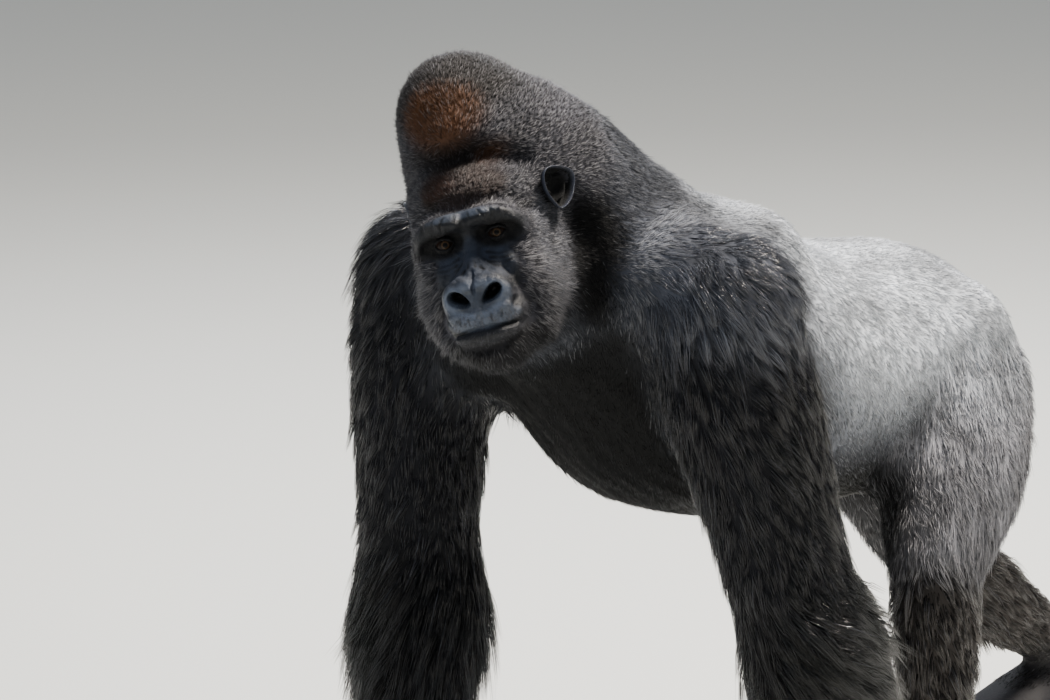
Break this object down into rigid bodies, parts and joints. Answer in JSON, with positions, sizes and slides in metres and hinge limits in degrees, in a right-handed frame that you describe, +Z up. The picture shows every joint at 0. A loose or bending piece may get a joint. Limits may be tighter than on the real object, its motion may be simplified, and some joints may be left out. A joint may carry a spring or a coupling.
{
  "type": "gorilla figure",
  "caption": "Life-size still model of an adult male western lowland gorilla walking on its knuckles, head turned to its left, one hind leg stretched back.",
  "frame": {"origin": "middle of the footprint of the whole animal, on the floor", "axes": "-Y the way the body faces and walks, +X the animal's left, +Z up; metres"},
  "size_m": [0.7446, 1.5444, 1.1325],
  "materials": {
    "brown_grey_coat": "short dense fur, grizzled grey-brown with rust on the crown",
    "silver_saddle_coat": "short flat silver-grey fur, sheen along the back",
    "black_coat": "long glossy blue-black hair in locks",
    "bare_skin": "bare wrinkled black skin, satin",
    "eyes": "wet amber-brown eye, clear cornea"
  },
  "bodies": {
    "root": {"head": "brown_grey_coat", "neck": "brown_grey_coat", "trunk": "silver_saddle_coat", "upper_arm_left": "black_coat", "upper_arm_right": "black_coat", "forearm_left": "black_coat", "forearm_right": "black_coat", "hand_left": "bare_skin", "hand_right": "bare_skin", "thigh_left": "silver_saddle_coat", "thigh_right": "silver_saddle_coat", "shin_left": "black_coat", "shin_right": "black_coat", "foot_left": "bare_skin", "foot_right": "bare_skin", "ear_left": "bare_skin", "ear_right": "bare_skin", "eye_left": "eyes", "eye_right": "eyes"}
  },
  "joints": []
}
